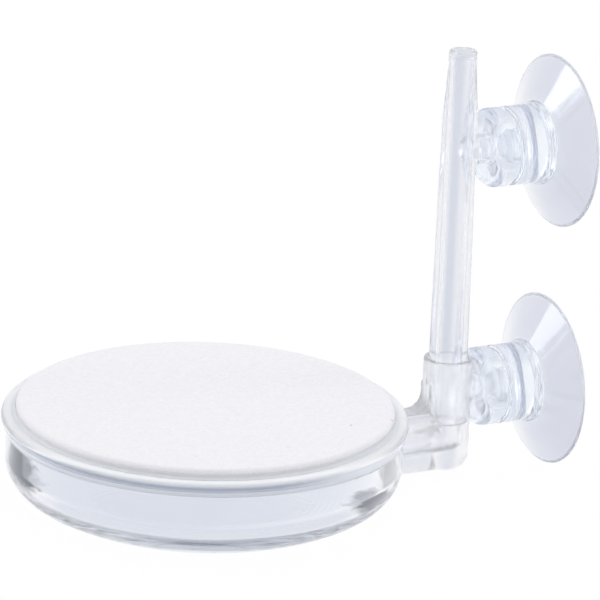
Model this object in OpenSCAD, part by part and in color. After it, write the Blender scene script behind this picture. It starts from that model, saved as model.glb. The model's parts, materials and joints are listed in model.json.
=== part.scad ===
// Carbon dioxide diffuser for an aquarium.
// A clear round dish is closed by a porous ceramic disc. Gas comes down a push-in riser, through the
// side arm and into the dish, and leaves through the disc as fine bubbles. Two suction cups on pegs
// hold the riser and the arm to the tank's glass.
// The origin is the centre of the dish's flat foot. +Z is up and +X runs from the dish to the glass.

/* [Ceramic disc] */
// Diameter of the porous disc
disc_d = 60; // [40:0.5:90]
// Thickness of the disc
disc_t = 4; // [3:0.1:6]
// Height that the disc stands above the rim
disc_proud = 1.5; // [1.2:0.1:2]
// Rounding of the disc's top edge
disc_top_r = 0.8; // [0.3:0.1:1]
// Rounding of the disc's lower edge
disc_base_r = 0.4; // [0.2:0.1:0.6]
// Width of the sealant joint around the disc
seal_w = 0.5; // [0.3:0.1:1]
// Size of the sealant fillet on top of the rim
seal_fillet = 0.7; // [0.5:0.05:1]

/* [Dish] */
// Height of the dish from its foot to the top of the rim
dish_h = 15.7; // [14:0.1:20]
// Thickness of the rim wall outside the sealant
rim_wall = 1; // [0.8:0.1:1.6]
// Width of the ledge that the disc sits on
ledge_w = 1.2; // [0.8:0.1:2]
// Radius of the knuckle that turns the wall towards the foot
knuckle_r = 6; // [5:0.1:8]
// Angle that the knuckle turns through
knuckle_angle = 60; // [50:1:70]
// Radius of the crown between the knuckle and the flat foot
crown_r = 24; // [18:0.5:32]
// Rounding of the bead's top edge
bead_r = 0.85; // [0.6:0.05:1.2]
// Distance that the bead stands out from the wall
bead_out = 0.75; // [0.4:0.05:0.9]
// Height of the tapered skirt under the bead's rounding
skirt_h = 1.75; // [1.4:0.05:2.2]
// Distance that the skirt's lower edge stands out from the wall
skirt_out = 0.3; // [0.1:0.05:0.35]

/* [Arm] */
// Length of the arm from the dish's wall to the riser's axis
arm_len = 11.7; // [10:0.1:20]
// Width of the arm
arm_w = 7.2; // [6.6:0.1:7.8]
// Height of the arm
arm_h = 10.6; // [9.6:0.1:11.4]
// Height of the arm's underside above the foot
arm_lift = 0.7; // [0.3:0.1:1.2]
// Diameter of the gas duct in the arm
duct_d = 4; // [3:0.1:4.4]
// Thickness of the spigot's wall where the arm plugs into the dish
spigot_wall = 0.8; // [0.6:0.05:1]
// Radius of the gusset between the arm and the socket
gusset_r = 2.6; // [2:0.1:4]
// Thickness of the gusset
gusset_t = 3.2; // [2:0.1:5]
// Radius of the fillet at the arm's root on the dish
root_r = 1.6; // [1:0.1:2]

/* [Socket] */
// Thickness of the socket's wall
socket_wall = 0.8; // [0.7:0.05:1.4]
// Height of the socket's mouth above the lower peg
socket_rise = 5.8; // [4:0.1:9]
// Height of the shoulder that the riser stands on, above the duct
shoulder_h = 1; // [0.6:0.1:1.6]
// Rounding of the closed lower end under the socket
post_foot_r = 3; // [1.5:0.1:3.4]
// Rounding of the socket's mouth
mouth_r = 0.4; // [0.2:0.05:0.6]

/* [Riser] */
// Outside diameter of the riser in its socket
riser_d = 6.3; // [5.6:0.1:7.5]
// Outside diameter where the hose nipple starts
riser_top_d = 5.6; // [5.2:0.1:6.2]
// Diameter of the gas bore
riser_bore_d = 3; // [2:0.1:3.2]
// Chamfer of the riser's lower end
riser_lead = 0.4; // [0.2:0.05:0.8]
// Length between the upper peg and the start of the hose nipple
nipple_gap = 6; // [3:0.1:12]
// Length of the hose nipple
nipple_len = 10.7; // [8:0.1:18]
// Diameter of the nipple's tip
tip_d = 4.5; // [4:0.1:5]
// Length of the straight land at the tip
tip_land = 3; // [2:0.1:5]
// Rounding of the tip's outer edge
tip_r = 0.4; // [0.2:0.05:0.5]

/* [Pegs] */
// Distance between the two suction cups
cup_pitch = 40.5; // [32:0.1:60]
// Diameter of the boss at the peg's root
peg_boss_d = 5; // [4.4:0.1:6]
// Diameter of the peg's shank
peg_d = 3.6; // [3:0.1:4.2]
// Diameter of the peg's head
peg_head_d = 5.2; // [4.8:0.1:6]
// Length of the peg's head
peg_head_l = 2.4; // [2:0.1:3.4]
// Radius of the head's nose
peg_nose_r = 1.1; // [0.6:0.1:1.6]

/* [Suction cups] */
// Diameter of the cup's rim
cup_d = 28; // [24:0.2:36]
// Overall height of the cup
cup_h = 13.6; // [12.8:0.1:16]
// Diameter of the neck
neck_d = 12.8; // [10:0.1:14]
// Length of the neck, up to the collar
neck_l = 9.1; // [7.6:0.1:9.6]
// Rounding of the neck's front edge
neck_edge_r = 1.6; // [0.8:0.1:2.2]
// Diameter of the half-round groove around the neck
groove_d = 0.9; // [0.6:0.05:1.4]
// Distance from the neck's front face to the middle of the groove
groove_at = 3.9; // [3:0.1:5]
// Distance that the collar at the neck's base stands out
collar_out = 0.3; // [0.1:0.05:0.4]
// Width of the collar
collar_w = 0.8; // [0.6:0.05:1]
// Depth of the hole's narrow mouth, up to the peg's head
hole_l = 2.6; // [2:0.1:3.4]
// Depth of the suction face at its middle
suction_depth = 4; // [3:0.1:4.6]
// Diameter of the flat middle of the suction face
suction_flat_d = 6; // [3:0.1:8]
// Thickness of the rim's lip
lip_t = 0.6; // [0.4:0.05:0.9]
// Width of the flat edge that meets the glass
lip_w = 0.6; // [0.4:0.05:1]

/* [Fits] */
// Running clearance on the radius, riser in socket and cup on peg
run_gap = 0.05; // [0.03:0.01:0.09]
// Joint thickness of bonded faces
bond_gap = 0.05; // [0.02:0.01:0.1]
// Clearance around the peg's head
head_gap = 0.1; // [0.06:0.01:0.2]
// Gap between a peg's boss and the face of the cup's neck
cup_gap = 0.3; // [0.2:0.05:0.8]

/* [Hidden] */
$fn = 96;
// Length that a cutting shape runs past the face it cuts
over = 1;

disc_r = disc_d / 2;
seal_r = disc_r + seal_w;
dish_r = seal_r + rim_wall;
seat_z = dish_h - (disc_t - disc_proud);
cavity_r = disc_r - ledge_w;
wall_t = dish_r - cavity_r;

// Knuckle and crown meet on a common tangent, and the crown ends level at the foot
knuckle_x = dish_r - knuckle_r;
crown_x = knuckle_x - (crown_r - knuckle_r) * cos(knuckle_angle);
knuckle_z = crown_r - (crown_r - knuckle_r) * sin(knuckle_angle);

arm_reach = dish_r + arm_len;
arm_top = arm_lift + arm_h;
duct_z = arm_lift + arm_h / 2;
spigot_d = duct_d + 2 * spigot_wall;

socket_d = riser_d + 2 * run_gap;
post_d = socket_d + 2 * socket_wall;
socket_floor = duct_z + duct_d / 2 + shoulder_h;

// The lower cup's rim reaches down to the foot's level
lower_peg_z = cup_d / 2;
upper_peg_z = lower_peg_z + cup_pitch;
socket_top = lower_peg_z + socket_rise;
nipple_z = upper_peg_z + nipple_gap;
riser_top = nipple_z + nipple_len;

// Distances along a peg, from the riser's axis
boss_face = post_d / 2;
neck_face = boss_face + cup_gap;
head_face = neck_face + hole_l + run_gap;

// Section of a square corner at the origin, less its quarter round of radius r
module corner_cut(r) {
    difference() {
        square(r);
        translate([0, r]) circle(r);
    }
}

// Section of a hollow fillet of radius r in the corner of the two axes
module hollow_fillet(r) {
    difference() {
        square(r);
        translate([r, r]) circle(r);
    }
}

// Half section of the bowl, grown outwards by g: flat foot, crown, knuckle and wall
module bowl_section(g = 0) {
    translate([0, -g]) square([crown_x, dish_h + g]);
    intersection() {
        translate([crown_x, crown_r]) circle(crown_r + g);
        polygon([
            [crown_x, -over],
            [crown_x, crown_r],
            [knuckle_x, knuckle_z],
            [knuckle_x + 2 * knuckle_r * cos(knuckle_angle), knuckle_z - 2 * knuckle_r * sin(knuckle_angle)],
        ]);
    }
    translate([knuckle_x, knuckle_z]) circle(knuckle_r + g);
    translate([0, knuckle_z]) square([dish_r + g, dish_h - knuckle_z]);
}

// Half section of the rim's bead, grown by g: a rounded top over a tapered skirt
module rim_bead(g = 0) {
    round_r = bead_r + g;
    outer_r = dish_r + bead_out + g;
    toe_z = dish_h - bead_r - skirt_h - g;
    difference() {
        polygon([
            [seal_r, toe_z],
            [dish_r + skirt_out + g, toe_z],
            [outer_r, dish_h - bead_r],
            [outer_r, dish_h + g],
            [seal_r, dish_h + g],
        ]);
        translate([outer_r - round_r, dish_h + g]) mirror([0, 1]) corner_cut(round_r);
    }
}

// Half section of the dish's outside with its rim bead, grown by g
module dish_section(g = 0) {
    bowl_section(g);
    rim_bead(g);
}

// Half section of the gas chamber, with the disc's recess above it
module chamber_section() {
    bowl_section(-wall_t);
    translate([0, seat_z]) square([seal_r, dish_h]);
}

// Round bar of diameter d along +X at height z, between two distances from the dish's axis
module bar_x(d, z, from, to) {
    translate([from, 0, z]) rotate([0, 90, 0]) cylinder(d = d, h = to - from);
}

// Clear moulded dish with a beaded rim, a ledge for the disc and a port for the arm's spigot
module dish() {
    color([0.86, 0.89, 0.94, 0.4])
    difference() {
        rotate_extrude() difference() {
            dish_section();
            chamber_section();
        }
        bar_x(spigot_d + 2 * bond_gap, duct_z, cavity_r, dish_r + over);
        bar_x(duct_d, duct_z, crown_x, dish_r + over);
    }
}

// Half section of the disc, with its edges rounded
module disc_section() {
    translate([0, seat_z]) difference() {
        square([disc_r, disc_t]);
        translate([disc_r - disc_base_r, 0]) corner_cut(disc_base_r);
        translate([disc_r - disc_top_r, disc_t]) mirror([0, 1]) corner_cut(disc_top_r);
    }
}

// Sintered white ceramic disc, standing on the dish's ledge
module ceramic_disc() {
    color([0.95, 0.95, 0.96])
    rotate_extrude() disc_section();
}

// Clear sealant that fills the joint around the disc and ends in a hollow fillet
module disc_seal() {
    color([0.9, 0.92, 0.95, 0.6])
    rotate_extrude() {
        translate([disc_r, seat_z]) square([seal_w, dish_h - seat_z]);
        translate([disc_r, dish_h]) hollow_fillet(seal_fillet);
    }
}

// Closed round post under and around the riser's socket
module post() {
    post_r = post_d / 2;
    translate([arm_reach, 0, 0]) rotate_extrude() difference() {
        translate([0, arm_lift]) square([post_r, socket_top - arm_lift]);
        translate([post_r - post_foot_r, arm_lift]) corner_cut(post_foot_r);
        translate([post_r - mouth_r, socket_top]) mirror([0, 1]) corner_cut(mouth_r);
    }
}

// Flat-sided arm with a round top and underside
module arm_bar() {
    arm_r = arm_w / 2;
    translate([cavity_r, 0, 0]) rotate([90, 0, 90]) linear_extrude(arm_reach - cavity_r) {
        translate([-arm_r, arm_lift + arm_r]) square([arm_w, arm_h - arm_w]);
        for (z = [arm_lift + arm_r, arm_top - arm_r]) translate([0, z]) circle(arm_r);
    }
}

// Webs on top of the arm: a gusset to the socket and a fillet at the dish
module arm_webs() {
    // The webs start inside the arm's round top, and inside the dish and the post
    sink = arm_w / 4;
    post_x = arm_reach - post_d / 2;
    rotate([90, 0, 0]) translate([0, 0, -gusset_t / 2]) linear_extrude(gusset_t) {
        translate([post_x, arm_top]) mirror([1, 0]) hollow_fillet(gusset_r);
        translate([post_x - gusset_r, arm_top - sink]) square([gusset_r + sink, sink]);
        translate([post_x, arm_top]) square([sink, gusset_r]);
        translate([dish_r, arm_top]) hollow_fillet(root_r);
        translate([dish_r - sink, arm_top - sink]) square([root_r + sink, sink]);
    }
}

// Peg of a suction cup, out from the riser's axis at height z
module peg(z) {
    head_r = peg_head_d / 2;
    translate([arm_reach, 0, z]) rotate([0, 90, 0]) rotate_extrude() {
        square([peg_boss_d / 2, boss_face]);
        square([peg_d / 2, head_face + peg_nose_r]);
        translate([0, head_face]) difference() {
            square([head_r, peg_head_l]);
            translate([head_r - peg_nose_r, peg_head_l]) mirror([0, 1]) corner_cut(peg_nose_r);
        }
    }
}

// Clear moulded arm: a spigot into the dish, the gas duct, the riser's socket and the lower peg
module arm() {
    color([0.88, 0.9, 0.94, 0.4])
    difference() {
        union() {
            difference() {
                union() {
                    arm_bar();
                    arm_webs();
                }
                rotate_extrude() dish_section(bond_gap);
            }
            bar_x(spigot_d, duct_z, cavity_r + bond_gap, arm_reach);
            post();
            peg(lower_peg_z);
        }
        bar_x(duct_d, duct_z, cavity_r - over, arm_reach);
        translate([arm_reach, 0, duct_z]) {
            sphere(d = duct_d);
            cylinder(d = duct_d, h = socket_floor - duct_z + over);
        }
        translate([arm_reach, 0, socket_floor]) cylinder(d = socket_d, h = socket_top);
    }
}

// Half section of the riser's outside: a straight end in the socket, a drafted tube and the nipple
module riser_section() {
    foot_z = socket_floor + run_gap;
    land_z = riser_top - tip_land;
    difference() {
        polygon([
            [0, foot_z],
            [riser_d / 2 - riser_lead, foot_z],
            [riser_d / 2, foot_z + riser_lead],
            [riser_d / 2, socket_top],
            [riser_top_d / 2, nipple_z],
            [tip_d / 2, land_z],
            [tip_d / 2, riser_top],
            [0, riser_top],
        ]);
        translate([tip_d / 2 - tip_r, riser_top]) mirror([0, 1]) corner_cut(tip_r);
    }
}

// Clear drafted riser with a hose nipple at the top and the upper cup's peg on its side
module riser() {
    color([0.88, 0.9, 0.94, 0.4])
    difference() {
        union() {
            translate([arm_reach, 0, 0]) rotate_extrude() riser_section();
            peg(upper_peg_z);
        }
        translate([arm_reach, 0, 0]) cylinder(d = riser_bore_d, h = riser_top + over);
    }
}

// Half section of a suction cup's outside, from the neck's front face to the rim
module cup_outside() {
    neck_r = neck_d / 2;
    collar_x = neck_r + collar_out - collar_w / 2;
    difference() {
        square([neck_r, neck_l + collar_w]);
        translate([neck_r - neck_edge_r, 0]) corner_cut(neck_edge_r);
        translate([neck_r, groove_at]) circle(d = groove_d);
    }
    translate([collar_x, neck_l + collar_w / 2]) circle(d = collar_w);
    polygon([
        [0, neck_l + collar_w],
        [collar_x, neck_l + collar_w],
        [cup_d / 2, cup_h - lip_t],
        [cup_d / 2, cup_h],
        [0, cup_h],
    ]);
}

// Half section of a suction cup's hollows: the peg's hole and the suction face
module cup_hollows() {
    hole_r = peg_d / 2 + run_gap;
    head_r = peg_head_d / 2 + head_gap;
    head_room = run_gap + peg_head_l + head_gap;
    translate([0, -over]) square([hole_r, hole_l + over]);
    translate([0, hole_l]) square([head_r, head_room]);
    polygon([
        [0, cup_h - suction_depth],
        [suction_flat_d / 2, cup_h - suction_depth],
        [cup_d / 2 - lip_w, cup_h],
        [0, cup_h],
    ]);
}

// Soft clear suction cup on the peg at height z
module suction_cup(z) {
    color([0.84, 0.87, 0.95, 0.45])
    translate([arm_reach + neck_face, 0, z]) rotate([0, 90, 0]) rotate_extrude() difference() {
        cup_outside();
        cup_hollows();
    }
}

module lower_cup() {
    suction_cup(lower_peg_z);
}

module upper_cup() {
    suction_cup(upper_peg_z);
}

dish();
ceramic_disc();
disc_seal();
arm();
riser();
lower_cup();
upper_cup();
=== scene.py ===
import json
import math

import bpy
from bpy.props import FloatProperty, FloatVectorProperty, PointerProperty
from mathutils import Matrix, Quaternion, Vector

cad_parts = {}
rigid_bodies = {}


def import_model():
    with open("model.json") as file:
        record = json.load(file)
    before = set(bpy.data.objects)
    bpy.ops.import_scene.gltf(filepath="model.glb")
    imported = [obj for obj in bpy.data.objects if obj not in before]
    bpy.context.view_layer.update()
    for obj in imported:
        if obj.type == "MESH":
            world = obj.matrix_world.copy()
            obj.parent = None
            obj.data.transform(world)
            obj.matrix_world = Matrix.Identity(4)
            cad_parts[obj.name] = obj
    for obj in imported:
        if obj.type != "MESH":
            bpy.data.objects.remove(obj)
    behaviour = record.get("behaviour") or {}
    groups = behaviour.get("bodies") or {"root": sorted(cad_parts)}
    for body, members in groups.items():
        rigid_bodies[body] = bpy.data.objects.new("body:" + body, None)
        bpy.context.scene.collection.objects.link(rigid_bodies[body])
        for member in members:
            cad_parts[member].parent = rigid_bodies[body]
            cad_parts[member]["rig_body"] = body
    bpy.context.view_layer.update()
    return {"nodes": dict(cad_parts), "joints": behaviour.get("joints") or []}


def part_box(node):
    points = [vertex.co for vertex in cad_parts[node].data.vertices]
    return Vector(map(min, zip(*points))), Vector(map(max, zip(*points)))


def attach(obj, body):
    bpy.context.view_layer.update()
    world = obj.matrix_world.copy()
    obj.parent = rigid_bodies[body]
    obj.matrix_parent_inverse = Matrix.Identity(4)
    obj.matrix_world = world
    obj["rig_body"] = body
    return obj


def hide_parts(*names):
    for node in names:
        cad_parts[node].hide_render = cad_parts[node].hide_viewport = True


bl_info = {
    "name": "Carbon dioxide diffuser",
    "version": (1, 0, 0),
    "blender": (4, 5, 0),
    "location": "3D View > Sidebar > Diffuser",
    "description": "Models an aquarium diffuser: clear dish, porous disc, side arm, riser and suction cups",
    "category": "Object",
}

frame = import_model()

MM = 0.001
UP = Vector((0, 0, 1))
TO_GLASS = Vector((1, 0, 0))
ARC_STEP = math.radians(5)
# The dish bends light the most, so its arcs are finer
DISH_STEP = math.radians(3)
# Steps round a full turn, for pieces of three sizes
WIDE_TURN = 192
TURN = 128
FINE_TURN = 64
# Distance from an arc at which a flat face gets a line of its own, so that it is shaded flat
EASE = 0.12 * MM
# Longest stretch of an outline without a point
STRETCH = 4 * MM
# Points closer than this are merged
WELD = 0.002 * MM
# How far a cutting tool runs past what it cuts
OVERRUN = 1 * MM
# Sides of a round bar
BAR_SIDES = 96
# Edges that turn by more than this stay sharp
SHARP = math.radians(35)

DISH_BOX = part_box("dish")
DISC_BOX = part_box("ceramic_disc")
SEAL_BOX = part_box("disc_seal")
ARM_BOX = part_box("arm")
RISER_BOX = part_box("riser")
CUP_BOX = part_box("upper_cup")
JOINT_AT = {joint["name"]: Vector(joint["pos_m"]) for joint in frame["joints"]}

# The studio's grey panels: their bearing, and the half widths at which they end and are full, in degrees
PANEL_AT = 70
PANEL_END = 17
PANEL_FULL = 5
# Elevations at which the grey below the horizon starts and is full, in degrees
BELOW_START = -32
BELOW_FULL = -44
# Painted shade on the floor, as dark cards that only clear plastic shows: opposite corners in millimetres,
# and how dark the card is
CARDS = (
    ("left_card", (-46, 6), (-22, 46), 0.9),
    ("right_card", (19, -28), (34, -8), 0.8),
    ("side_card", (36, -16), (58, 2), 0.5),
)
# Height of the cards over the ground, in millimetres
CARD_Z = 0.02
# Soft boxes: distance in metres, azimuth and elevation in degrees, side in metres and power in watts
LAMPS = (
    ("top", 1.0, 63, 75, 0.8, 0.2),
    ("left", 0.9, 138, 14, 0.3, 1),
    ("right", 0.9, -12, 14, 0.3, 1),
)
# Light that turns many times inside clear plastic is followed until it leaves
BOUNCES = 96


def linear(code):
    """An sRGB hex colour as linear red, green, blue and full alpha."""
    parts = [int(code[place:place + 2], 16) / 255 for place in (1, 3, 5)]
    return [p / 12.92 if p <= 0.04045 else ((p + 0.055) / 1.055) ** 2.4 for p in parts] + [1.0]


def length(label, description, default):
    """A size in metres that a user can change."""
    return FloatProperty(name=label, description=description, default=default, unit="LENGTH", precision=5)


def angle(label, description, degrees):
    """An angle that a user can change."""
    return FloatProperty(name=label, description=description, default=math.radians(degrees), unit="ROTATION")


def colour(label, description, code):
    """A colour that a user can change."""
    return FloatVectorProperty(
        name=label, description=description, default=linear(code), subtype="COLOR", size=4, min=0, max=1
    )


class DishSettings(bpy.types.PropertyGroup):
    """Sizes of the clear dish."""

    height: length("Height", "From the foot to the top of the rim", DISH_BOX[1].z)
    bead_r: length("Bead radius", "Radius of the rim's outermost point", DISH_BOX[1].x)
    bead_out: length("Bead", "How far the rim's bead stands out from the wall", 0.75 * MM)
    round_r: length("Bead rounding", "Rounding of the bead's top", 0.85 * MM)
    skirt_h: length("Skirt", "Height of the skirt under the bead's rounding", 1.75 * MM)
    skirt_out: length("Skirt edge", "How far the skirt's lower edge stands out from the wall", 0.3 * MM)
    skirt_edge_r: length("Skirt rounding", "Rounding of the skirt's lower edge", 0.1 * MM)
    toe_r: length("Skirt toe", "Fillet between the skirt and the wall", 0.14 * MM)
    blend_r: length("Bead blend", "Radius that blends the skirt into the bead", 1.445 * MM)
    blend_drop: length("Blend drop", "From the bead's rounding down to the blend's corner", 0.3 * MM)
    # Height of the line of painted shade in the crease under the bead
    shade_line_drop: length("Painted shade line", "From the bead's rounding down to the painted shade line", 0.5 * MM)
    wall: length("Wall", "Thickness of the moulded wall", 2.7 * MM)
    knuckle_r: length("Knuckle", "Radius that turns the wall towards the foot", 6 * MM)
    knuckle_turn: angle("Knuckle turn", "Angle that the knuckle turns through", 60)
    crown_r: length("Crown", "Radius between the knuckle and the flat foot", 24 * MM)
    recess_r: length("Recess", "Radius of the recess that takes the disc and its sealant", 30.5 * MM)
    ledge_z: length("Ledge", "Height of the ledge under the disc", DISC_BOX[0].z)
    edge_r: length("Edge", "Rounding of the moulded edges", 0.2 * MM)


class DiscSettings(bpy.types.PropertyGroup):
    """Sizes and colour of the porous disc and its sealant."""

    radius: length("Radius", "Radius of the disc", DISC_BOX[1].x)
    base_z: length("Base", "Height of the disc's underside", DISC_BOX[0].z)
    top_z: length("Top", "Height of the disc's top", DISC_BOX[1].z)
    top_r: length("Top edge", "Rounding of the disc's top edge", 0.8 * MM)
    base_r: length("Lower edge", "Rounding of the disc's lower edge", 0.4 * MM)
    tint: colour("Ceramic", "Colour of the sintered ceramic", "#F1F0F4")


class ArmSettings(bpy.types.PropertyGroup):
    """Sizes of the moulded arm and its socket."""

    width: length("Width", "Width of the arm's bar", 7.2 * MM)
    height: length("Height", "Height of the arm's bar", 10.6 * MM)
    duct_r: length("Duct", "Radius of the gas duct", 2 * MM)
    elbow_r: length("Elbow", "Rounding of the duct's outer corner", 1.96 * MM)
    spigot_r: length("Spigot", "Radius of the spigot in the dish's port", 2.8 * MM)
    post_r: length("Post", "Radius of the post around the socket", 4 * MM)
    post_foot_r: length("Post foot", "Rounding of the post's closed lower end", 3 * MM)
    post_edge_r: length("Post edge", "Rounding of the post's top edge", 0.4 * MM)
    socket_r: length("Socket", "Radius of the riser's socket", 3.2 * MM)
    socket_floor: length("Socket floor", "Height of the shoulder under the riser", 9 * MM)
    gusset_r: length("Gusset", "Radius of the gusset between bar and post", 2.6 * MM)
    gusset_t: length("Gusset width", "Thickness of the gusset", 3.2 * MM)
    root_r: length("Root", "Radius of the fillet between bar and dish", 1.6 * MM)
    grain: length("Moulding grain", "Grid that blends the arm's forms into one moulding", 0.15 * MM)


class RiserSettings(bpy.types.PropertyGroup):
    """Sizes of the riser and of the pegs that carry the suction cups."""

    radius: length("Radius", "Radius in the socket", 3.15 * MM)
    edge_r: length("Edge", "Rounding of the riser's foot and tip", 0.4 * MM)
    nipple_r: length("Nipple", "Radius where the hose nipple starts", 2.8 * MM)
    tip_r: length("Tip", "Radius of the nipple's tip", 2.25 * MM)
    bore_r: length("Bore", "Radius of the gas bore", 1.5 * MM)
    nipple_l: length("Nipple length", "Length of the hose nipple", 10.7 * MM)
    taper_r: length("Taper blend", "Radius that blends the ends of the nipple's taper", 6 * MM)
    land_l: length("Land", "Length of the straight land at the tip", 3 * MM)
    boss_r: length("Boss", "Radius of the boss at a peg's root", 2.5 * MM)
    boss_x: length("Boss face", "Distance from the riser's axis to the boss's face", 4 * MM)
    shank_r: length("Shank", "Radius of a peg's shank", 1.8 * MM)
    head_r: length("Head", "Radius of a peg's head", 2.6 * MM)
    head_l: length("Head length", "Length of a peg's head", 2.4 * MM)
    nose_r: length("Nose", "Rounding of a peg's nose", 1.1 * MM)
    boss_edge_r: length("Boss edge", "Rounding of the boss's face", 0.3 * MM)
    head_edge_r: length("Head edge", "Rounding of the edge that holds the cup", 0.2 * MM)
    head_gap: length("Head gap", "Clearance between a peg's head and the cup", 0.05 * MM)


class CupSettings(bpy.types.PropertyGroup):
    """Sizes of a suction cup."""

    radius: length("Radius", "Radius of the rim", (CUP_BOX[1].z - CUP_BOX[0].z) / 2)
    height: length("Height", "From the neck's face to the rim", CUP_BOX[1].x - CUP_BOX[0].x)
    neck_r: length("Neck", "Radius of the neck", 6.4 * MM)
    neck_l: length("Neck length", "Length of the neck up to the collar", 9.1 * MM)
    neck_edge_r: length("Neck edge", "Rounding of the neck's front edge", 1.6 * MM)
    neck_fillet_r: length("Neck fillets", "Rounding where the neck meets its groove and collar", 0.15 * MM)
    groove_at: length("Groove", "Distance from the neck's face to the groove", 3.9 * MM)
    groove_w: length("Groove width", "Width of the groove round the neck", 0.9 * MM)
    groove_floor_w: length("Groove floor", "Width of the groove's floor", 0.54 * MM)
    groove_floor_r: length("Groove rounding", "Rounding of the groove's floor", 0.25 * MM)
    collar_out: length("Collar", "How far the collar stands out from the neck", 0.3 * MM)
    collar_w: length("Collar width", "Width of the collar at the neck's base", 0.8 * MM)
    collar_edge_r: length("Collar edge", "Rounding of the collar's edges", 0.3 * MM)
    collar_draft: length("Collar draft", "Slope of the collar's sides", 0.1 * MM)
    flange_fillet_r: length("Flange fillet", "Fillet between the collar and the flange", 0.2 * MM)
    hole_r: length("Hole", "Radius of the hole's narrow mouth", 1.85 * MM)
    hole_l: length("Mouth", "Depth of the hole's narrow mouth", 2.6 * MM)
    hole_edge_r: length("Mouth edge", "Rounding of the edges of the hole's narrow mouth", 0.2 * MM)
    room_r: length("Head room", "Radius of the room for the peg's head", 2.7 * MM)
    room_l: length("Head room length", "Length of the room for the peg's head", 2.55 * MM)
    room_edge_r: length("Head room edge", "Rounding at the end of the room for the peg's head", 0.5 * MM)
    depth: length("Suction depth", "Depth of the suction face at its middle", 4 * MM)
    flat_r: length("Suction flat", "Radius of the suction face's flat middle", 3 * MM)
    flat_edge_r: length("Suction blend", "Radius that blends the flat middle into the suction face", 1.5 * MM)
    lip_t: length("Lip", "Thickness of the rim's lip", 0.3 * MM)
    lip_w: length("Lip width", "Width of the flat edge that meets the glass", 0.6 * MM)
    lip_edge_r: length("Lip edge", "Rounding of the lip's outer edges", 0.13 * MM)
    lip_inner_r: length("Lip inner edge", "Rounding between the flat edge and the suction face", 0.2 * MM)


class StageSettings(bpy.types.PropertyGroup):
    """Camera, floor and light."""

    azimuth: angle("Azimuth", "Camera's direction round the object, from straight ahead", -26.93)
    elevation: angle("Elevation", "Camera's height over the horizon", 18.68)
    roll: angle("Roll", "Camera's turn about its own axis", 2.284)
    distance: length("Distance", "From the camera to the point it looks at", 814.6 * MM)
    aim: FloatVectorProperty(
        name="Aim",
        description="Point that the camera looks at",
        default=(15.14 * MM, -1.63 * MM, 33.18 * MM),
        subtype="XYZ",
        unit="LENGTH",
    )
    lens: FloatProperty(name="Lens", description="Focal length in millimetres", default=309.2)
    floor: colour("Floor", "Colour of the floor", "#FFFFFF")


def deselect():
    """Leaves nothing selected, in object mode."""
    if bpy.context.object and bpy.context.object.mode != "OBJECT":
        bpy.ops.object.mode_set(mode="OBJECT")
    bpy.ops.object.select_all(action="DESELECT")


def select(piece):
    """Leaves one piece selected and active, in object mode."""
    deselect()
    bpy.context.view_layer.objects.active = piece
    piece.select_set(True)


def rounded(corners, closed=False, arc_step=ARC_STEP):
    """Points along an outline. Each corner is (across, along, radius), and its radius becomes an arc."""
    points = []
    for index, (across, along, radius) in enumerate(corners):
        corner = Vector((across, along))
        if radius == 0:
            points.append(corner)
            continue
        back = (Vector(corners[index - 1][:2]) - corner).normalized()
        ahead = (Vector(corners[(index + 1) % len(corners)][:2]) - corner).normalized()
        half = back.angle(ahead) / 2
        centre = corner + (back + ahead).normalized() * radius / math.sin(half)
        start = corner + back * radius / math.tan(half) - centre
        turn = math.copysign(math.pi - 2 * half, ahead.x * back.y - ahead.y * back.x)
        steps = max(2, math.ceil(abs(turn) / arc_step))
        for step in range(steps + 1):
            bearing = math.atan2(start.y, start.x) + turn * step / steps
            points.append(centre + radius * Vector((math.cos(bearing), math.sin(bearing))))
    if closed:
        points.append(points[0])
    return eased(points)


def eased(points):
    """The same outline, with points beside the ends of each straight stretch and along it."""
    result = [points[0]]
    for start, end in zip(points, points[1:]):
        reach = (end - start).length
        if reach > 3 * EASE:
            parts = max(1, math.ceil(reach / STRETCH))
            shares = [EASE / reach] + [part / parts for part in range(1, parts)] + [1 - EASE / reach]
            result += [start.lerp(end, share) for share in shares]
        result.append(end)
    return result


def drawn(name, points):
    """A new mesh, left in edit mode: one vertex that is extruded from point to point."""
    deselect()
    bpy.ops.mesh.primitive_plane_add(size=MM)
    piece = bpy.context.object
    piece.name = name
    bpy.ops.object.mode_set(mode="EDIT")
    bpy.ops.mesh.merge(type="CENTER")
    bpy.ops.transform.translate(value=points[0])
    for start, end in zip(points, points[1:]):
        bpy.ops.mesh.extrude_vertices_move(TRANSFORM_OT_translate={"value": end - start})
    bpy.ops.mesh.select_all(action="SELECT")
    return piece


def close_mesh():
    """Merges doubles, turns the faces outwards and leaves edit mode."""
    bpy.ops.mesh.select_all(action="SELECT")
    bpy.ops.mesh.remove_doubles(threshold=WELD)
    bpy.ops.mesh.normals_make_consistent(inside=False)
    bpy.ops.object.mode_set(mode="OBJECT")


def turned(name, corners, origin, axis, steps, closed=False, arc_step=ARC_STEP):
    """A turned piece: its half outline is spun round the axis."""
    side = axis.orthogonal().normalized()
    points = [origin + side * point.x + axis * point.y for point in rounded(corners, closed, arc_step)]
    piece = drawn(name, points)
    bpy.ops.mesh.spin(steps=steps, angle=math.tau, center=origin, axis=axis, use_auto_merge=True)
    close_mesh()
    return piece


def bar(name, radius, start, end):
    """A round bar from start to end."""
    deselect()
    along = end - start
    turn = along.to_track_quat("Z", "Y").to_euler()
    bpy.ops.mesh.primitive_cylinder_add(
        vertices=BAR_SIDES, radius=radius, depth=along.length, location=(start + end) / 2, rotation=turn
    )
    piece = bpy.context.object
    piece.name = name
    bpy.ops.object.transform_apply(location=True, rotation=True, scale=True)
    return piece


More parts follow.
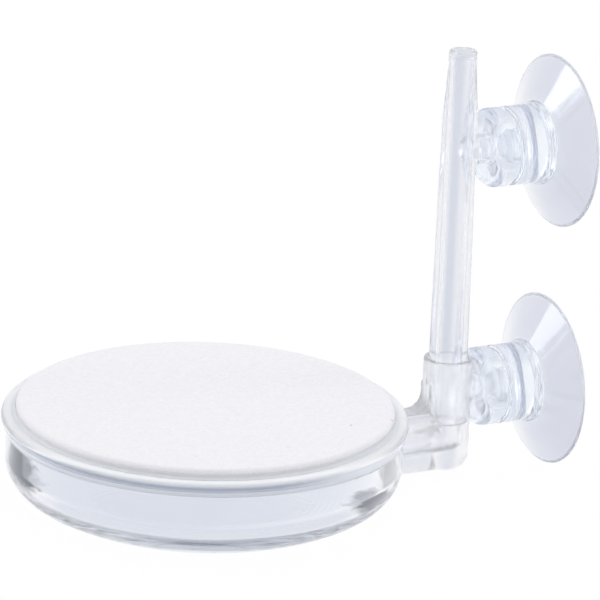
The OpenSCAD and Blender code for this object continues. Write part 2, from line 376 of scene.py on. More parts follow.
def web(name, corners, thickness):
    """A flat web in the plane of the arm and the riser, from its outline."""
    points = [Vector((point.x, -thickness / 2, point.y)) for point in rounded(corners, closed=True)]
    piece = drawn(name, points)
    bpy.ops.mesh.remove_doubles(threshold=WELD)
    bpy.ops.mesh.edge_face_add()
    bpy.ops.mesh.extrude_region_move(TRANSFORM_OT_translate={"value": (0, thickness, 0)})
    close_mesh()
    return piece


def modify(piece, kind, **settings):
    """Adds a modifier to a piece and applies it."""
    select(piece)
    bpy.ops.object.modifier_add(type=kind)
    modifier = piece.modifiers[-1]
    for name, value in settings.items():
        setattr(modifier, name, value)
    bpy.ops.object.modifier_apply(modifier=modifier.name)


def combine(piece, tool, operation):
    """Joins a tool to a piece, or cuts it from it, and removes the tool."""
    modify(piece, "BOOLEAN", object=tool, operation=operation, solver="EXACT")
    bpy.data.objects.remove(tool)


def smooth(piece):
    """Shades a piece smooth, apart from its sharp edges."""
    select(piece)
    bpy.ops.object.shade_smooth_by_angle(angle=SHARP)


def soften(piece, grain):
    """Gives a joined piece the small even fillets of one moulding, a few grains wide."""
    modify(piece, "REMESH", mode="VOXEL", voxel_size=grain)
    modify(piece, "SMOOTH", factor=0.5, iterations=5)
    select(piece)
    bpy.ops.object.shade_smooth()


def hand_over(piece, node, material):
    """The piece stands for a node, on the node's own body."""
    piece.data.materials.clear()
    piece.data.materials.append(material)
    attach(piece, frame["nodes"][node]["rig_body"])
    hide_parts(node)


def add_node(tree, kind, values=None, links=None, **settings):
    """Adds a shader node with its settings, socket values and the outputs linked to it."""
    node = tree.nodes.new(kind)
    for name, value in settings.items():
        setattr(node, name, value)
    for socket, value in (values or {}).items():
        node.inputs[socket].default_value = value
    for socket, source in (links or {}).items():
        tree.links.new(source, node.inputs[socket])
    return node


def new_material(name):
    """A new material and its empty node tree."""
    material = bpy.data.materials.new(name)
    material.use_nodes = True
    material.node_tree.nodes.clear()
    return material, material.node_tree


def per_metre(size):
    """Scale of a pattern whose features are this many metres apart."""
    return 1 / size


def clear_plastic(name, shader_values, ripple, ripple_depth, absorb, density, flow=(1, 1, 1), local_look=None):
    """A clear plastic with slow ripples in its surface and a tint that grows with depth.

    The ripples are drawn out where flow is under one, and local_look gives what changes from place to place,
    the dish's painted shade line among it.
    """
    material, tree = new_material(name)
    place = add_node(tree, "ShaderNodeTexCoord").outputs["Object"]
    drawn_out = add_node(
        tree, "ShaderNodeVectorMath", {1: flow}, {0: place}, operation="MULTIPLY"
    ).outputs["Vector"]
    waves = add_node(
        tree, "ShaderNodeTexNoise", {"Scale": per_metre(ripple), "Detail": 1.0}, {"Vector": drawn_out}
    ).outputs["Fac"]
    bump = add_node(
        tree, "ShaderNodeBump", {"Strength": 1.0, "Distance": ripple_depth}, {"Height": waves}
    ).outputs["Normal"]
    links = {"Normal": bump}
    if local_look:
        links.update(local_look(tree, place))
    shader = add_node(tree, "ShaderNodeBsdfPrincipled", shader_values, links).outputs["BSDF"]
    volume = add_node(
        tree, "ShaderNodeVolumeAbsorption", {"Color": absorb, "Density": density}
    ).outputs["Volume"]
    add_node(tree, "ShaderNodeOutputMaterial", links={"Surface": shader, "Volume": volume})
    return material


def polished_acrylic(bead_z, crease_z):
    """Clear acrylic from a polished mould, with hard highlights in the bowl.

    The rim is left matt by the sealant that was wiped off it, and a grey line of painted shade sits
    in the crease on the side away from the arm, where the crease would lie in shadow.
    """

    # Painted shade: a grey line in the crease under the bead, where the crease would lie in shadow, fading
    # out towards the arm
    shade_line_w = 0.26 * MM

    def local_look(tree, place):
        at = add_node(tree, "ShaderNodeSeparateXYZ", links={"Vector": place}).outputs
        line = add_node(
            tree, "ShaderNodeMath", {1: crease_z, 2: shade_line_w / 2}, {0: at["Z"]}, operation="COMPARE"
        ).outputs[0]
        side = add_node(
            tree, "ShaderNodeMapRange", {"From Min": 10 * MM, "From Max": -2 * MM}, {"Value": at["X"]}
        ).outputs["Result"]
        share = add_node(tree, "ShaderNodeMath", links={0: line, 1: side}, operation="MULTIPLY").outputs[0]
        tint = add_node(
            tree,
            "ShaderNodeMix",
            {"A": linear("#FCFDFF"), "B": linear("#C0C6D4")},
            {"Factor": share},
            data_type="RGBA",
        ).outputs["Result"]
        rim = {"From Min": bead_z - 0.4 * MM, "From Max": bead_z + 0.2 * MM}
        matt = add_node(
            tree, "ShaderNodeMapRange", {**rim, "To Min": 0.02, "To Max": 0.3}, {"Value": at["Z"]}
        ).outputs["Result"]
        top = {"From Min": bead_z + 0.1 * MM, "From Max": bead_z + 0.8 * MM}
        clear = add_node(
            tree, "ShaderNodeMapRange", {**top, "To Min": 1.0, "To Max": 0.28}, {"Value": at["Z"]}
        ).outputs["Result"]
        return {"Base Color": tint, "Roughness": matt, "Transmission Weight": clear}

    return clear_plastic(
        "acrylic_polished_clear",
        {"IOR": 1.49},
        ripple=7 * MM,
        ripple_depth=0.02 * MM,
        absorb=linear("#C8CED8"),
        density=10.0,
        local_look=local_look,
    )


def hazy_acrylic(socket_z, tip_z):
    """Clear acrylic from a plain mould, with faint flow lines along the riser.

    The riser is a little greyer above the socket than inside it, and the cut leaves the tip frosted.
    """

    def local_look(tree, place):
        height = add_node(tree, "ShaderNodeSeparateXYZ", links={"Vector": place}).outputs["Z"]
        above_socket = {"From Min": socket_z - 0.5 * MM, "From Max": socket_z + 1.0 * MM}
        share = add_node(tree, "ShaderNodeMapRange", above_socket, {"Value": height}).outputs["Result"]
        tint = add_node(
            tree,
            "ShaderNodeMix",
            {"A": linear("#FFFFFF"), "B": linear("#F6F7FA")},
            {"Factor": share},
            data_type="RGBA",
        ).outputs["Result"]
        tip = {"From Min": tip_z - 1.2 * MM, "From Max": tip_z - 0.2 * MM}
        frost = add_node(
            tree, "ShaderNodeMapRange", {**tip, "To Min": 0.16, "To Max": 0.4}, {"Value": height}
        ).outputs["Result"]
        clear = add_node(
            tree, "ShaderNodeMapRange", {**tip, "To Min": 0.96, "To Max": 0.6}, {"Value": height}
        ).outputs["Result"]
        return {"Base Color": tint, "Roughness": frost, "Transmission Weight": clear}

    return clear_plastic(
        "acrylic_moulded_hazy",
        {"IOR": 1.49},
        ripple=2 * MM,
        ripple_depth=0.0015 * MM,
        absorb=linear("#C9CDE2"),
        density=2.0,
        flow=(1, 1, 0.02),
        local_look=local_look,
    )


def milky_acrylic():
    """Clear acrylic chilled fast in a thick mould: a haze under a glossy skin, which blurs the duct."""
    values = {
        "Base Color": linear("#FDFDFF"),
        "Roughness": 0.24,
        "IOR": 1.49,
        "Transmission Weight": 0.97,
        "Coat Weight": 1.0,
        "Coat Roughness": 0.04,
    }
    return clear_plastic(
        "acrylic_moulded_milky",
        values,
        ripple=4 * MM,
        ripple_depth=0.015 * MM,
        absorb=linear("#C9CDE2"),
        density=2.0,
    )


def soft_vinyl(node, face, flange_x, rim_r):
    """Soft moulded vinyl: clear and faintly blue in the neck, greyer in the flange, frosted at its rim."""

    def local_look(tree, place):
        from_face = add_node(
            tree, "ShaderNodeVectorMath", {1: face}, {0: place}, operation="SUBTRACT"
        ).outputs["Vector"]
        along = add_node(tree, "ShaderNodeSeparateXYZ", links={"Vector": from_face}).outputs["X"]
        across = add_node(
            tree, "ShaderNodeVectorMath", {1: (0, 1, 1)}, {0: from_face}, operation="MULTIPLY"
        ).outputs["Vector"]
        away = add_node(tree, "ShaderNodeVectorMath", links={0: across}, operation="LENGTH").outputs["Value"]
        share = add_node(
            tree, "ShaderNodeMapRange", {"From Min": flange_x, "From Max": flange_x + MM}, {"Value": along}
        ).outputs["Result"]
        tint = add_node(
            tree,
            "ShaderNodeMix",
            {"A": linear("#FBFDFF"), "B": linear("#F1F2F8")},
            {"Factor": share},
            data_type="RGBA",
        ).outputs["Result"]
        rim = {"From Min": rim_r - 0.4 * MM, "From Max": rim_r - 0.1 * MM}
        frost = add_node(
            tree, "ShaderNodeMapRange", {**rim, "To Min": 0.09, "To Max": 0.6}, {"Value": away}
        ).outputs["Result"]
        clear = add_node(
            tree, "ShaderNodeMapRange", {**rim, "To Min": 0.94, "To Max": 0.4}, {"Value": away}
        ).outputs["Result"]
        return {"Base Color": tint, "Roughness": frost, "Transmission Weight": clear}

    return clear_plastic(
        "vinyl_soft_clear_" + node,
        {"IOR": 1.53},
        ripple=5 * MM,
        ripple_depth=0.02 * MM,
        absorb=linear("#B4D2FF"),
        density=8.0,
        local_look=local_look,
    )


def silicone_sealant():
    """Silicone run in by hand: milky, softly glossy, with a surface that wanders a little."""
    values = {"Base Color": linear("#F6F8FC"), "Roughness": 0.3, "IOR": 1.41, "Transmission Weight": 0.3}
    return clear_plastic(
        "silicone_sealant_milky",
        values,
        ripple=3 * MM,
        ripple_depth=0.04 * MM,
        absorb=linear("#D8DDF0"),
        density=5.0,
    )


def sintered_ceramic(tint):
    """White sintered ceramic: matte, with the grain of pressed powder and a few brown flecks fired in."""
    material, tree = new_material("ceramic_sintered_white")
    place = add_node(tree, "ShaderNodeTexCoord").outputs["Object"]
    # The real grain, of about 0.05 mm, is too fine to show, so it is drawn ten times coarser
    grain = add_node(
        tree, "ShaderNodeTexNoise", {"Scale": per_metre(0.5 * MM), "Detail": 3.0}, {"Vector": place}
    ).outputs["Fac"]
    darker = [0.9 * part for part in tint[:3]] + [1.0]
    lighter = [1.06 * part for part in tint[:3]] + [1.0]
    shade = add_node(
        tree,
        "ShaderNodeMix",
        {"A": darker, "B": lighter},
        {"Factor": grain},
        data_type="RGBA",
    ).outputs["Result"]
    spread = 6 * MM
    fleck_r = 0.22 * MM
    away = add_node(
        tree, "ShaderNodeTexVoronoi", {"Scale": per_metre(spread)}, {"Vector": place}
    ).outputs["Distance"]
    fleck = add_node(
        tree,
        "ShaderNodeMapRange",
        {"From Min": fleck_r / spread, "From Max": 0.5 * fleck_r / spread, "To Max": 0.7},
        {"Value": away},
    ).outputs["Result"]
    flecked = add_node(
        tree, "ShaderNodeMix", {"B": linear("#8A7355")}, {"Factor": fleck, "A": shade}, data_type="RGBA"
    ).outputs["Result"]
    bump = add_node(
        tree, "ShaderNodeBump", {"Strength": 0.8, "Distance": 0.12 * MM}, {"Height": grain}
    ).outputs["Normal"]
    shader = add_node(
        tree,
        "ShaderNodeBsdfPrincipled",
        {"Roughness": 0.85, "IOR": 1.5, "Specular IOR Level": 0.2},
        {"Base Color": flecked, "Normal": bump},
    ).outputs["BSDF"]
    add_node(tree, "ShaderNodeOutputMaterial", links={"Surface": shader})
    return material


def wall_outline(settings, inset):
    """Corners of the bowl from its axis to its wall, moved inwards by an inset."""
    wall_r = settings.bead_r - settings.bead_out
    rest = math.pi / 2 - settings.knuckle_turn
    gap = settings.crown_r - settings.knuckle_r
    foot_r = wall_r - settings.knuckle_r - gap * math.cos(settings.knuckle_turn)
    knuckle_z = settings.crown_r - gap * math.sin(settings.knuckle_turn)
    crown_r = settings.crown_r - inset
    knuckle_r = settings.knuckle_r - inset
    return [
        (0, inset, 0),
        (foot_r + crown_r * math.tan(rest / 2), inset, crown_r),
        (wall_r - inset, knuckle_z - knuckle_r * math.tan(settings.knuckle_turn / 2), knuckle_r),
    ]


def dish_outside(settings):
    """Corners of the dish's outside, from the foot's middle over the bead to the rim."""
    wall_r = settings.bead_r - settings.bead_out
    bead_z = settings.height - settings.round_r
    toe_z = bead_z - settings.skirt_h
    return wall_outline(settings, 0) + [
        (wall_r, toe_z, settings.toe_r),
        (wall_r + settings.skirt_out, toe_z, settings.skirt_edge_r),
        (settings.bead_r, bead_z - settings.blend_drop, settings.blend_r),
        (settings.bead_r, settings.height, settings.round_r),
    ]


class DIFFUSER_OT_dish(bpy.types.Operator):
    """Spin the clear dish and bore the port for the arm"""

    bl_idname = "diffuser.dish"
    bl_label = "Dish"

    def execute(self, context):
        sizes = context.scene.diffuser_dish
        arm = context.scene.diffuser_arm
        cavity_r = sizes.bead_r - sizes.bead_out - sizes.wall
        outline = dish_outside(sizes) + [
            (sizes.recess_r, sizes.height, sizes.edge_r),
            (sizes.recess_r, sizes.ledge_z, sizes.edge_r),
            (cavity_r, sizes.ledge_z, sizes.edge_r),
        ]
        outline += wall_outline(sizes, sizes.wall)[::-1]
        dish = turned("clear_dish", outline, Vector(), UP, WIDE_TURN, arc_step=DISH_STEP)
        duct_z = ARM_BOX[0].z + arm.height / 2
        inside = Vector((cavity_r - 2 * OVERRUN, 0, duct_z))
        outside = Vector((sizes.bead_r, 0, duct_z))
        combine(dish, bar("port", arm.spigot_r, inside, outside), "DIFFERENCE")
        smooth(dish)
        bead_z = sizes.height - sizes.round_r
        hand_over(dish, "dish", polished_acrylic(bead_z, bead_z - sizes.shade_line_drop))
        return {"FINISHED"}


class DIFFUSER_OT_disc(bpy.types.Operator):
    """Spin the porous disc and the bead of sealant round it"""

    bl_idname = "diffuser.disc"
    bl_label = "Disc and sealant"

    def execute(self, context):
        sizes = context.scene.diffuser_disc
        dish = context.scene.diffuser_dish
        outline = [
            (0, sizes.base_z, 0),
            (sizes.radius, sizes.base_z, sizes.base_r),
            (sizes.radius, sizes.top_z, sizes.top_r),
            (0, sizes.top_z, 0),
        ]
        disc = turned("porous_disc", outline, Vector(), UP, WIDE_TURN)
        smooth(disc)
        hand_over(disc, "ceramic_disc", sintered_ceramic(sizes.tint))
        # A hair of air keeps the sealant from trapping light between the disc and the rim
        air = 0.03 * MM
        inner_r = sizes.radius + air
        outer_r = dish.recess_r - air
        fillet_z = SEAL_BOX[1].z
        fillet_r = SEAL_BOX[1].x
        seal_outline = [
            (inner_r, sizes.base_z + air, 0),
            (outer_r, sizes.base_z + air, 0),
            (outer_r, dish.height + air, 0),
            (fillet_r, dish.height + air, 0),
            (fillet_r, dish.height + 3 * air, 0),
            (sizes.radius + 4 * air, dish.height + 4 * air, 0.5 * (fillet_r - sizes.radius)),
            (inner_r + 2 * air, fillet_z, 0),
            (inner_r, fillet_z, 0),
        ]
        seal = turned("disc_sealant", seal_outline, Vector(), UP, WIDE_TURN, closed=True)
        smooth(seal)
        hand_over(seal, "disc_seal", silicone_sealant())
        return {"FINISHED"}


def peg(name, sizes, origin, hole_face):
    """A suction cup's peg: boss, shank and rounded head, from the riser's axis towards the glass."""
    head_x = hole_face + sizes.head_gap
    outline = [
        (0, 0, 0),
        (sizes.boss_r, 0, 0),
        (sizes.boss_r, sizes.boss_x, sizes.boss_edge_r),
        (sizes.shank_r, sizes.boss_x, 0),
        (sizes.shank_r, head_x, 0),
        (sizes.head_r, head_x, sizes.head_edge_r),
        (sizes.head_r, head_x + sizes.head_l, sizes.nose_r),
        (0, head_x + sizes.head_l, 0),
    ]
    return turned(name, outline, origin, TO_GLASS, FINE_TURN)


def hole_face(cup):
    """Distance from the riser's axis to the end of a cup's narrow mouth."""
    return CUP_BOX[0].x - JOINT_AT["riser_swivel"].x + cup.hole_l


class DIFFUSER_OT_arm(bpy.types.Operator):
    """Build the arm from its bar, webs, socket post, peg and spigot, and bore its duct"""

    bl_idname = "diffuser.arm"
    bl_label = "Arm"

    def execute(self, context):
        sizes = context.scene.diffuser_arm
        dish = context.scene.diffuser_dish
        axis_x = JOINT_AT["riser_swivel"].x
        low, top = ARM_BOX[0].z, ARM_BOX[0].z + sizes.height
        socket_top = ARM_BOX[1].z
        wall_r = dish.bead_r - dish.bead_out
        cavity_r = wall_r - dish.wall
        half = sizes.width / 2
        duct_z = low + sizes.height / 2
        sink = half / 2

        arm = bar("clear_arm", half, Vector((cavity_r, 0, low + half)), Vector((axis_x, 0, low + half)))
        # The round bar's upper half is lifted, which leaves flat sides between two round edges
        bpy.ops.object.mode_set(mode="EDIT")
        bpy.ops.mesh.select_mode(type="VERT")
        bpy.ops.mesh.select_all(action="DESELECT")
        bpy.ops.object.mode_set(mode="OBJECT")
        for vertex in arm.data.vertices:
            vertex.select = vertex.co.z > low + half + 0.01 * MM
        bpy.ops.object.mode_set(mode="EDIT")
        bpy.ops.transform.translate(value=(0, 0, sizes.height - sizes.width))
        bpy.ops.object.mode_set(mode="OBJECT")

        post_x = axis_x - sizes.post_r
        gusset = [
            (post_x - sizes.gusset_r - sink, top - sink, 0),
            (post_x + sink, top - sink, 0),
            (post_x + sink, top + sizes.gusset_r + sink, 0),
            (post_x, top + sizes.gusset_r + sink, 0),
            (post_x, top, sizes.gusset_r),
            (post_x - sizes.gusset_r - sink, top, 0),
        ]
        combine(arm, web("gusset", gusset, sizes.gusset_t), "UNION")
        root = [
            (wall_r - sink, top - sink, 0),
            (wall_r + sizes.root_r + sink, top - sink, 0),
            (wall_r + sizes.root_r + sink, top, 0),
            (wall_r, top, sizes.root_r),
            (wall_r, top + sizes.root_r, 0),
            (wall_r - sink, top + sizes.root_r, 0),
        ]
        combine(arm, web("root", root, sizes.gusset_t), "UNION")
        outside = dish_outside(dish) + [(0, dish.height, 0)]
        combine(arm, turned("dish_shape", outside, Vector(), UP, WIDE_TURN), "DIFFERENCE")

        duct_start = Vector((cavity_r, 0, duct_z))
        corner = Vector((axis_x, 0, duct_z))
        combine(arm, bar("spigot", sizes.spigot_r, duct_start, corner), "UNION")
        post = [
            (0, low, 0),
            (sizes.post_r, low, sizes.post_foot_r),
            (sizes.post_r, socket_top, sizes.post_edge_r),
            (0, socket_top, 0),
        ]
        combine(arm, turned("post", post, Vector((axis_x, 0, 0)), UP, FINE_TURN), "UNION")
        peg_at = Vector((axis_x, 0, JOINT_AT["lower_cup_spin"].z))
        riser = context.scene.diffuser_riser
        combine(arm, peg("peg", riser, peg_at, hole_face(context.scene.diffuser_cup)), "UNION")

        duct = bar("duct", sizes.duct_r, duct_start - 2 * OVERRUN * TO_GLASS, corner)
        combine(arm, duct, "DIFFERENCE")
        elbow = [
            (0, duct_z - sizes.duct_r, 0),
            (sizes.duct_r, duct_z - sizes.duct_r, sizes.elbow_r),
            (sizes.duct_r, sizes.socket_floor, 0),
            (sizes.socket_r, sizes.socket_floor, 0),
            (sizes.socket_r, socket_top + OVERRUN, 0),
            (0, socket_top + OVERRUN, 0),
        ]
        combine(arm, turned("socket", elbow, Vector((axis_x, 0, 0)), UP, FINE_TURN), "DIFFERENCE")
        soften(arm, sizes.grain)
        hand_over(arm, "arm", milky_acrylic())
        return {"FINISHED"}


class DIFFUSER_OT_riser(bpy.types.Operator):
    """Spin the riser, join the upper peg to it and bore it"""

    bl_idname = "diffuser.riser"
    bl_label = "Riser"

    def execute(self, context):
        sizes = context.scene.diffuser_riser
        foot, top = RISER_BOX[0].z, RISER_BOX[1].z
        axis = Vector((JOINT_AT["riser_swivel"].x, 0, 0))
        outline = [
            (0, foot, 0),
            (sizes.radius, foot, sizes.edge_r),
            (sizes.radius, ARM_BOX[1].z, 0),
            (sizes.nipple_r, top - sizes.nipple_l, sizes.taper_r),
            (sizes.tip_r, top - sizes.land_l, sizes.taper_r),
            (sizes.tip_r, top, sizes.edge_r),
            (0, top, 0),
        ]
        riser = turned("clear_riser", outline, axis, UP, WIDE_TURN)
        peg_at = axis + UP * JOINT_AT["upper_cup_spin"].z
        combine(riser, peg("peg", sizes, peg_at, hole_face(context.scene.diffuser_cup)), "UNION")
        # The bore stops a hair under the top face, and its mouth is rounded into the tip's own rounding
        mouth_z = top - 0.005 * MM
        bore = [
            (0, foot - OVERRUN, 0),
            (sizes.bore_r, foot - OVERRUN, 0),
            (sizes.bore_r, mouth_z, sizes.tip_r - sizes.bore_r - sizes.edge_r),
            (sizes.radius, mouth_z, 0),
            (sizes.radius, top + OVERRUN, 0),
            (0, top + OVERRUN, 0),
        ]
        combine(riser, turned("bore", bore, axis, UP, WIDE_TURN), "DIFFERENCE")
        smooth(riser)
        hand_over(riser, "riser", hazy_acrylic(ARM_BOX[1].z, top))
        return {"FINISHED"}


class DIFFUSER_OT_cups(bpy.types.Operator):
    """Spin a suction cup and copy it to both pegs"""

    bl_idname = "diffuser.cups"
    bl_label = "Suction cups"

    def execute(self, context):
        sizes = context.scene.diffuser_cup
        groove_start = sizes.groove_at - sizes.groove_w / 2
        groove_end = sizes.groove_at + sizes.groove_w / 2
        floor_start = sizes.groove_at - sizes.groove_floor_w / 2
        floor_end = sizes.groove_at + sizes.groove_floor_w / 2
        floor_r = sizes.neck_r - sizes.groove_w / 2
        collar_r = sizes.neck_r + sizes.collar_out
        collar_end = sizes.neck_l + sizes.collar_w
        room_end = sizes.hole_l + sizes.room_l
        outline = [
            (0, room_end, 0),
            (sizes.room_r, room_end, sizes.room_edge_r),
            (sizes.room_r, sizes.hole_l, sizes.hole_edge_r),
            (sizes.hole_r, sizes.hole_l, sizes.hole_edge_r),
            (sizes.hole_r, 0, sizes.hole_edge_r),
            (sizes.neck_r, 0, sizes.neck_edge_r),
            (sizes.neck_r, groove_start, sizes.neck_fillet_r),
            (floor_r, floor_start, sizes.groove_floor_r),
            (floor_r, floor_end, sizes.groove_floor_r),
            (sizes.neck_r, groove_end, sizes.neck_fillet_r),
            (sizes.neck_r, sizes.neck_l, sizes.neck_fillet_r),
            (collar_r, sizes.neck_l + sizes.collar_draft, sizes.collar_edge_r),
            (collar_r, collar_end - sizes.collar_draft, sizes.collar_edge_r),
            (sizes.neck_r + sizes.flange_fillet_r, collar_end, sizes.flange_fillet_r),
            (sizes.radius, sizes.height - sizes.lip_t, sizes.lip_edge_r),
            (sizes.radius, sizes.height, sizes.lip_edge_r),
            (sizes.radius - sizes.lip_w, sizes.height, sizes.lip_inner_r),
            (sizes.flat_r, sizes.height - sizes.depth, sizes.flat_edge_r),
            (0, sizes.height - sizes.depth, 0),
        ]
        face = Vector((CUP_BOX[0].x, 0, JOINT_AT["lower_cup_spin"].z))
        lower = turned("soft_cup_lower", outline, face, TO_GLASS, TURN)
        smooth(lower)
        bpy.ops.object.duplicate()
        upper = bpy.context.object
        upper.name = "soft_cup_upper"
        bpy.ops.transform.translate(value=(0, 0, JOINT_AT["upper_cup_spin"].z - face.z))
        bpy.ops.object.transform_apply(location=True, rotation=True, scale=True)
        for cup, node in ((lower, "lower_cup"), (upper, "upper_cup")):
            middle = Vector((face.x, 0, JOINT_AT[node + "_spin"].z))
            hand_over(cup, node, soft_vinyl(node, middle, collar_end, sizes.radius))
        return {"FINISHED"}


def seen_directly(tree):
    """One for rays from the camera or by way of a mirror or clear material, and zero for stray light."""
    path = add_node(tree, "ShaderNodeLightPath").outputs
    either = add_node(
        tree,
        "ShaderNodeMath",
        links={0: path["Is Camera Ray"], 1: path["Is Glossy Ray"]},
        operation="MAXIMUM",
    ).outputs[0]
    return add_node(
        tree, "ShaderNodeMath", links={0: either, 1: path["Is Transmission Ray"]}, operation="MAXIMUM"
    ).outputs[0]


def toward(azimuth, elevation):
    """Unit vector in a direction, with both angles in degrees and the azimuth from +X."""
    level = math.cos(math.radians(elevation))
    turn = math.radians(azimuth)
    return Vector((math.cos(turn) * level, math.sin(turn) * level, math.sin(math.radians(elevation))))


def studio_surround(tree):
    """What clear plastic shows: white all round, with pale grey below and on a panel behind and before it."""
    way = add_node(tree, "ShaderNodeTexCoord").outputs["Generated"]
    level = add_node(
        tree, "ShaderNodeVectorMath", {1: (1, 1, 0)}, {0: way}, operation="MULTIPLY"
    ).outputs["Vector"]
    bearing = add_node(
        tree, "ShaderNodeVectorMath", links={0: level}, operation="NORMALIZE"
    ).outputs["Vector"]
    ahead = add_node(
        tree, "ShaderNodeVectorMath", {1: toward(PANEL_AT, 0)}, {0: bearing}, operation="DOT_PRODUCT"
    ).outputs["Value"]
    near = add_node(tree, "ShaderNodeMath", links={0: ahead}, operation="ABSOLUTE").outputs[0]
    panel = add_node(
        tree,
        "ShaderNodeMapRange",
        {"From Min": math.cos(math.radians(PANEL_END)), "From Max": math.cos(math.radians(PANEL_FULL))},
        {"Value": near},
    ).outputs["Result"]
    height = add_node(tree, "ShaderNodeSeparateXYZ", links={"Vector": way}).outputs["Z"]
    below = add_node(
        tree,
        "ShaderNodeMapRange",
        {"From Min": math.sin(math.radians(BELOW_START)), "From Max": math.sin(math.radians(BELOW_FULL))},
        {"Value": height},
    ).outputs["Result"]
    share = add_node(tree, "ShaderNodeMath", links={0: panel, 1: below}, operation="MAXIMUM").outputs[0]
    return add_node(
        tree,
        "ShaderNodeMix",
        {"A": linear("#FFFFFF"), "B": linear("#E2E5EC")},
        {"Factor": share},
        data_type="RGBA",
    ).outputs["Result"]


def studio_world():
    """White for the camera, the studio's surround for clear plastic, and light from above for the rest."""
    world = bpy.data.worlds.new("studio")
    bpy.context.scene.world = world
    world.use_nodes = True
    tree = world.node_tree
    tree.nodes.clear()
    white = linear("#FFFFFF")
    way = add_node(tree, "ShaderNodeTexCoord").outputs["Generated"]
    height = add_node(tree, "ShaderNodeSeparateXYZ", links={"Vector": way}).outputs["Z"]
    level = add_node(tree, "ShaderNodeMapRange", {"To Min": 0.5, "To Max": 1.2}, {"Value": height})
    light = add_node(tree, "ShaderNodeBackground", {"Color": white}, {"Strength": level.outputs["Result"]})
    surround = add_node(tree, "ShaderNodeBackground", {"Strength": 1.0}, {"Color": studio_surround(tree)})
    shown = add_node(tree, "ShaderNodeBackground", {"Color": white, "Strength": 1.0})
    path = add_node(tree, "ShaderNodeLightPath").outputs
    through = add_node(
        tree,
        "ShaderNodeMath",
        links={0: path["Is Glossy Ray"], 1: path["Is Transmission Ray"]},
        operation="MAXIMUM",
    ).outputs[0]
    inner = add_node(
        tree, "ShaderNodeMixShader", links={0: through, 1: light.outputs[0], 2: surround.outputs[0]}
    )
    outer = add_node(
        tree,
        "ShaderNodeMixShader",
        links={0: path["Is Camera Ray"], 1: inner.outputs[0], 2: shown.outputs[0]},
    )
    add_node(tree, "ShaderNodeOutputWorld", links={"Surface": outer.outputs[0]})


def white_floor(tint):
    """A pale floor that shows white and keeps a soft shadow."""
    material, tree = new_material("floor_white")
    paint = add_node(tree, "ShaderNodeBsdfDiffuse", {"Color": linear("#C4C4C8")})
    glow = add_node(tree, "ShaderNodeEmission", {"Color": tint, "Strength": 1.03})
    share = add_node(
        tree, "ShaderNodeMath", {1: 0.94}, {0: seen_directly(tree)}, operation="MULTIPLY"
    ).outputs[0]
    mixed = add_node(
        tree, "ShaderNodeMixShader", links={0: share, 1: paint.outputs[0], 2: glow.outputs[0]}
    )
    add_node(tree, "ShaderNodeOutputMaterial", links={"Surface": mixed.outputs[0]})
    material.cycles.emission_sampling = "NONE"
    return material


def soft_box(name, location, aim, size, power):
    """A square area lamp turned to a point."""
    deselect()
    turn = (Vector(location) - aim).to_track_quat("Z", "Y").to_euler()
    bpy.ops.object.light_add(type="AREA", location=location, rotation=turn)
    lamp = bpy.context.object
    lamp.name = name
    lamp.data.size = size
    lamp.data.energy = power


def floor_shade_sheet(name, corner, opposite, weight):
    """A dark card on the floor that only clear plastic shows: painted shade beside the dish, which the
    plastic bends into dark patches.
    """
    deselect()
    size = opposite - corner
    middle = (corner + opposite) / 2
    bpy.ops.mesh.primitive_plane_add(size=1, location=middle)
    card = bpy.context.object
    card.name = name
    card.scale = (size.x, size.y, 1)
    bpy.ops.object.transform_apply(location=True, rotation=True, scale=True)
    card.data.materials.append(floor_shade_paint(name, middle, (size.x, size.y, 1), weight))
    card.visible_camera = False
    card.visible_diffuse = False
    card.visible_glossy = False
    card.visible_shadow = False


def floor_shade_paint(name, middle, size, weight):
    """Slate-grey painted shade, patchy and fading towards its edges."""
    material, tree = new_material("painted_floor_shade_" + name)
    place = add_node(tree, "ShaderNodeTexCoord").outputs["Object"]
    across = add_node(
        tree,
        "ShaderNodeMapping",
        {"Location": middle, "Scale": size},
        {"Vector": place},
        vector_type="TEXTURE",
    ).outputs["Vector"]
    away = add_node(
        tree, "ShaderNodeVectorMath", links={0: across}, operation="LENGTH"
    ).outputs["Value"]
    patches = add_node(
        tree, "ShaderNodeTexNoise", {"Scale": per_metre(4 * MM), "Detail": 3.0}, {"Vector": place}
    ).outputs["Fac"]
    # The painted shade is mottled and fades towards the card's edges
    patchy_fade = add_node(
        tree, "ShaderNodeMath", {1: 0.5}, {0: patches, 2: away}, operation="MULTIPLY_ADD"
    ).outputs[0]
    share = add_node(
        tree, "ShaderNodeMapRange", {"From Min": 0.8, "From Max": 0.62, "To Max": weight}, {"Value": patchy_fade}
    ).outputs["Result"]
    clear = add_node(tree, "ShaderNodeBsdfTransparent").outputs["BSDF"]
    paper = add_node(
        tree, "ShaderNodeBsdfPrincipled", {"Base Color": linear("#3A4556"), "Roughness": 0.9}
    ).outputs["BSDF"]
    mixed = add_node(tree, "ShaderNodeMixShader", links={0: share, 1: clear, 2: paper}).outputs["Shader"]
    add_node(tree, "ShaderNodeOutputMaterial", links={"Surface": mixed})
    return material


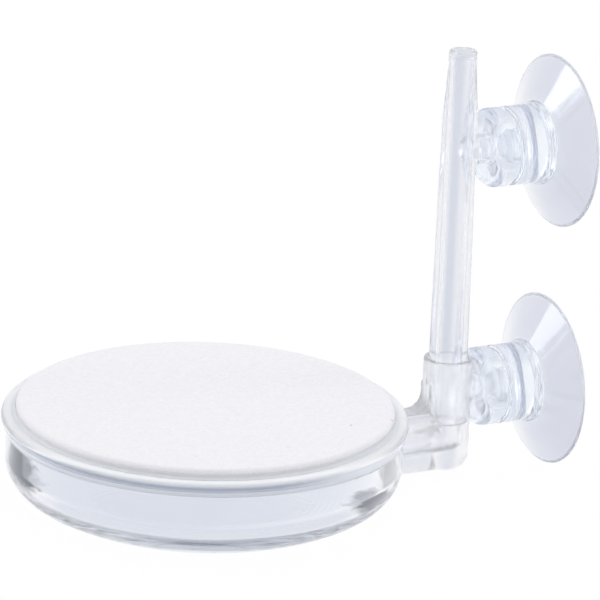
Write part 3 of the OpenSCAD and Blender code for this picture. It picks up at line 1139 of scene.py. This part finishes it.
class DIFFUSER_OT_stage(bpy.types.Operator):
    """Set up the camera, floor and studio light"""

    bl_idname = "diffuser.stage"
    bl_label = "Stage"

    def execute(self, context):
        settings = context.scene.diffuser_stage
        aim = Vector(settings.aim)
        # Straight ahead is along +Y, so the camera stands back along -Y
        back = toward(math.degrees(settings.azimuth) - 90, math.degrees(settings.elevation))
        turn = back.to_track_quat("Z", "Y") @ Quaternion(UP, settings.roll)
        deselect()
        bpy.ops.object.camera_add(location=aim + back * settings.distance, rotation=turn.to_euler())
        camera = bpy.context.object
        camera.data.sensor_width = 36
        camera.data.lens = settings.lens
        context.scene.camera = camera

        deselect()
        bpy.ops.mesh.primitive_plane_add(size=6, location=(0, 0, -0.05 * MM))
        floor = bpy.context.object
        floor.name = "floor"
        floor.data.materials.append(white_floor(settings.floor))
        floor.visible_transmission = False
        # Dark cards of painted shade, seen only through the clear plastic
        for name, corner, opposite, weight in CARDS:
            floor_shade_sheet(name, Vector((*corner, CARD_Z)) * MM, Vector((*opposite, CARD_Z)) * MM, weight)

        studio_world()
        for name, distance, azimuth, elevation, side, power in LAMPS:
            soft_box(name, aim + distance * toward(azimuth, elevation), aim, side, power)
        context.scene.view_settings.view_transform = "Standard"
        cycles = context.scene.cycles
        cycles.max_bounces = BOUNCES
        cycles.glossy_bounces = BOUNCES
        cycles.transmission_bounces = BOUNCES
        cycles.blur_glossy = 0
        return {"FINISHED"}


class DIFFUSER_PT_panel(bpy.types.Panel):
    """Lists the diffuser's pieces and its stage."""

    bl_label = "Carbon dioxide diffuser"
    bl_idname = "DIFFUSER_PT_panel"
    bl_space_type = "VIEW_3D"
    bl_region_type = "UI"
    bl_category = "Diffuser"

    def draw(self, context):
        for operator in OPERATORS:
            self.layout.operator(operator.bl_idname)
        for name in SETTINGS:
            group = getattr(context.scene, name)
            column = self.layout.column()
            column.label(text=group.bl_rna.description)
            for key in group.bl_rna.properties.keys():
                if key not in ("rna_type", "name"):
                    column.prop(group, key)


SETTINGS = {
    "diffuser_dish": DishSettings,
    "diffuser_disc": DiscSettings,
    "diffuser_arm": ArmSettings,
    "diffuser_riser": RiserSettings,
    "diffuser_cup": CupSettings,
    "diffuser_stage": StageSettings,
}
OPERATORS = (
    DIFFUSER_OT_stage,
    DIFFUSER_OT_dish,
    DIFFUSER_OT_disc,
    DIFFUSER_OT_arm,
    DIFFUSER_OT_riser,
    DIFFUSER_OT_cups,
)


def register():
    for name, group in SETTINGS.items():
        bpy.utils.register_class(group)
        setattr(bpy.types.Scene, name, PointerProperty(type=group))
    for operator in OPERATORS:
        bpy.utils.register_class(operator)
    bpy.utils.register_class(DIFFUSER_PT_panel)


def unregister():
    bpy.utils.unregister_class(DIFFUSER_PT_panel)
    for operator in reversed(OPERATORS):
        bpy.utils.unregister_class(operator)
    for name, group in SETTINGS.items():
        delattr(bpy.types.Scene, name)
        bpy.utils.unregister_class(group)


def main():
    register()
    bpy.ops.diffuser.stage()
    bpy.ops.diffuser.dish()
    bpy.ops.diffuser.disc()
    bpy.ops.diffuser.arm()
    bpy.ops.diffuser.riser()
    bpy.ops.diffuser.cups()


if __name__ == "__main__":
    main()
